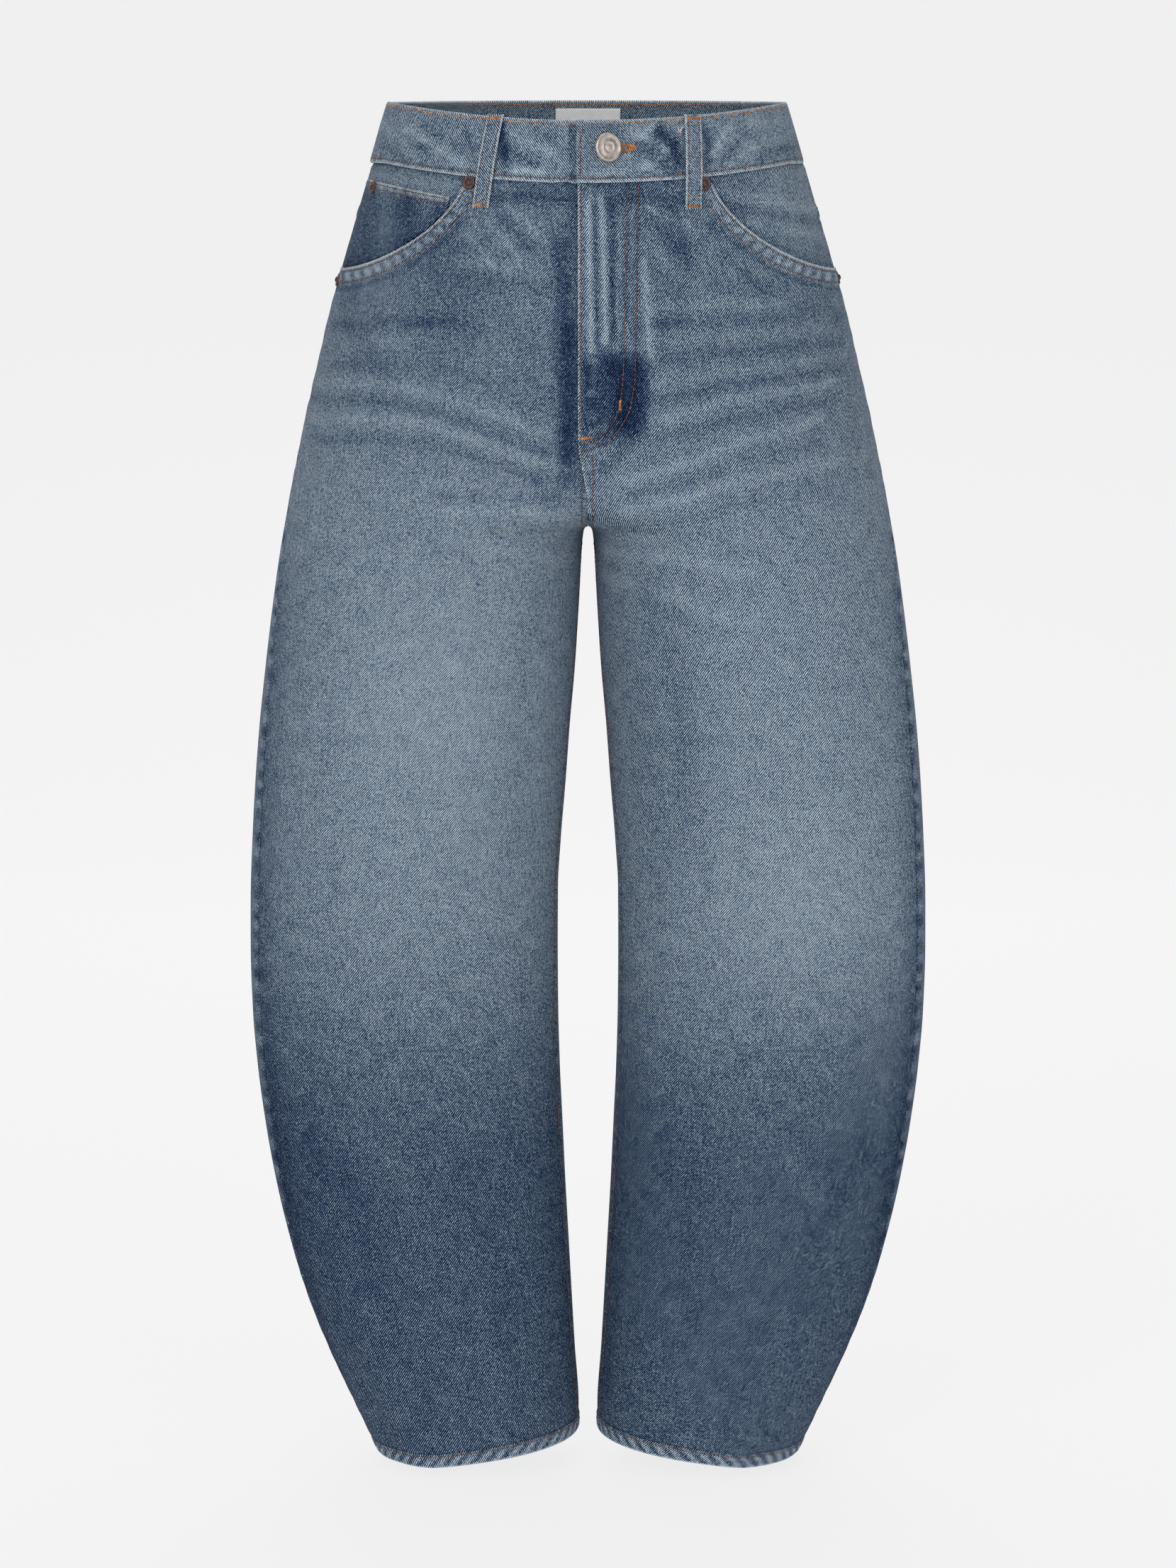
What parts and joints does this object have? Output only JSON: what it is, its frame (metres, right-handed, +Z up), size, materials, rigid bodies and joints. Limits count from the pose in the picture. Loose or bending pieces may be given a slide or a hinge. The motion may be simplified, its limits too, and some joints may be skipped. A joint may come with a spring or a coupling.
{
  "type": "jeans",
  "caption": "Faded blue denim jeans with curved, barrel-shaped legs, filled out as when worn: hollow and open at the waist and at both hems.",
  "frame": {"origin": "middle of the waist, on the centre line and level with the waistband's back top edge", "axes": "+Z up along the legs towards the waist, -Y the garment's front, +X the wearer's left"},
  "size_m": [0.4858, 0.2404, 0.9833],
  "materials": {
    "denim": "washed indigo twill, pale on the thighs and knees",
    "denim_dark": "less faded indigo twill",
    "button_metal": "satin, slightly warm grey",
    "rivet_metal": "dark aged copper",
    "label_cloth": "plain woven label, bare"
  },
  "bodies": {
    "root": {"front_right": "denim", "front_left": "denim", "back_right": "denim", "back_left": "denim", "yoke_right": "denim", "yoke_left": "denim", "waistband": "denim", "facing_right": "denim_dark", "facing_left": "denim_dark", "coin_pocket": "denim", "back_pocket_right": "denim", "back_pocket_left": "denim", "hem_right": "denim", "hem_left": "denim", "belt_loop_1": "denim", "belt_loop_2": "denim", "belt_loop_3": "denim", "belt_loop_4": "denim", "belt_loop_5": "denim", "button": "button_metal", "rivet_1": "rivet_metal", "rivet_2": "rivet_metal", "rivet_3": "rivet_metal", "rivet_4": "rivet_metal", "rivet_5": "rivet_metal", "label": "label_cloth"}
  },
  "joints": []
}
